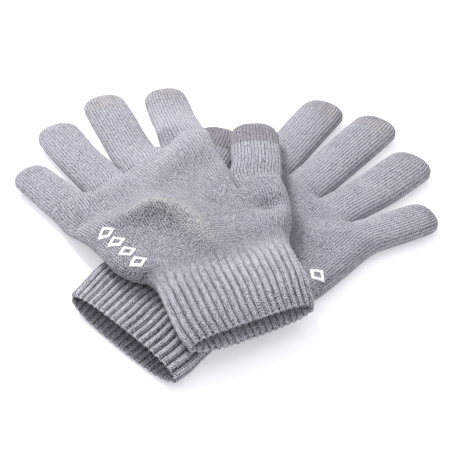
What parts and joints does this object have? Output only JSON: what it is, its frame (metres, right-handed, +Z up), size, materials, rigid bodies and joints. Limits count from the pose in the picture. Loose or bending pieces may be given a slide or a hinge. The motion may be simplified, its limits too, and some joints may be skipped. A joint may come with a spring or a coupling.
{
  "type": "pair of touchscreen gloves",
  "caption": "Knitted stretch gloves with ribbed cuffs and conductive fingertips for touchscreens, lying one on the other; the upper lifts off and the fingers fold up.",
  "frame": {"origin": "centre of the bounding box's footprint, on the surface the gloves lie on", "axes": "+Z up from the surface; +X runs from the upper glove's fingertips' side to the lower glove's fingertips' side, and +Y from the cuffs towards the fingertips"},
  "size_m": [0.206, 0.211, 0.0303],
  "materials": {
    "knit": "matte",
    "rib_knit": "matte",
    "conductive_knit": "matte",
    "stitching": "matte",
    "print": "matte"
  },
  "bodies": {
    "right_glove": {"right_cuff_welt": "rib_knit", "right_cuff": "rib_knit", "right_hand": "knit", "right_crotch_stitches": "stitching", "right_print": "print", "right_thumb": "knit", "right_thumb_tip": "conductive_knit", "right_index_root": "knit"},
    "left_glove": {"left_cuff_welt": "rib_knit", "left_cuff": "rib_knit", "left_hand": "knit", "left_crotch_stitches": "stitching", "left_print": "print"},
    "right_index_finger": {"right_index": "knit", "right_index_tip": "conductive_knit"},
    "right_middle_finger": {"right_middle": "knit", "right_middle_tip": "conductive_knit"},
    "right_ring_finger": {"right_ring": "knit"},
    "right_little_finger": {"right_little": "knit"},
    "left_thumb_stall": {"left_thumb": "knit", "left_thumb_tip": "conductive_knit"},
    "left_index_finger": {"left_index": "knit", "left_index_tip": "conductive_knit"},
    "left_middle_finger": {"left_middle": "knit", "left_middle_tip": "conductive_knit"},
    "left_ring_finger": {"left_ring": "knit"},
    "left_little_finger": {"left_little": "knit"}
  },
  "joints": [
    {"name": "left_glove_lift", "type": "slide", "parent": "right_glove", "child": "left_glove", "axis": [0, 0, 1], "range_m": [0, 0.12]},
    {"name": "right_index_fold", "type": "hinge", "parent": "right_glove", "child": "right_index_finger", "pos_m": [0.03548, 0.05407, 0.004], "axis": [0.8446, -0.5354, 0], "range_deg": [0, 68]},
    {"name": "right_middle_fold", "type": "hinge", "parent": "right_glove", "child": "right_middle_finger", "pos_m": [0.04106, 0.02034, 0.004], "axis": [0.7898, -0.6134, 0], "range_deg": [0, 68]},
    {"name": "right_ring_fold", "type": "hinge", "parent": "right_glove", "child": "right_ring_finger", "pos_m": [0.05553, 0.00251, 0.004], "axis": [0.6648, -0.747, 0], "range_deg": [0, 68]},
    {"name": "right_little_fold", "type": "hinge", "parent": "right_glove", "child": "right_little_finger", "pos_m": [0.06312, -0.01952, 0.004], "axis": [0.5031, -0.8642, 0], "range_deg": [0, 68]},
    {"name": "left_thumb_fold", "type": "hinge", "parent": "left_glove", "child": "left_thumb_stall", "pos_m": [0.01894, 0.0063, 0.0176], "axis": [0.9992, 0.0396, 0], "range_deg": [0, 68]},
    {"name": "left_index_fold", "type": "hinge", "parent": "left_glove", "child": "left_index_finger", "pos_m": [-0.01747, 0.04231, 0.0136], "axis": [0.9761, 0.2173, 0], "range_deg": [0, 68]},
    {"name": "left_middle_fold", "type": "hinge", "parent": "left_glove", "child": "left_middle_finger", "pos_m": [-0.03886, 0.03416, 0.01], "axis": [0.93, 0.3676, 0], "range_deg": [0, 68]},
    {"name": "left_ring_fold", "type": "hinge", "parent": "left_glove", "child": "left_ring_finger", "pos_m": [-0.05684, 0.01989, 0.0076], "axis": [0.858, 0.5136, 0], "range_deg": [0, 68]},
    {"name": "left_little_fold", "type": "hinge", "parent": "left_glove", "child": "left_little_finger", "pos_m": [-0.06952, -0.00061, 0.0056], "axis": [0.7611, 0.6486, 0], "range_deg": [0, 68]}
  ]
}
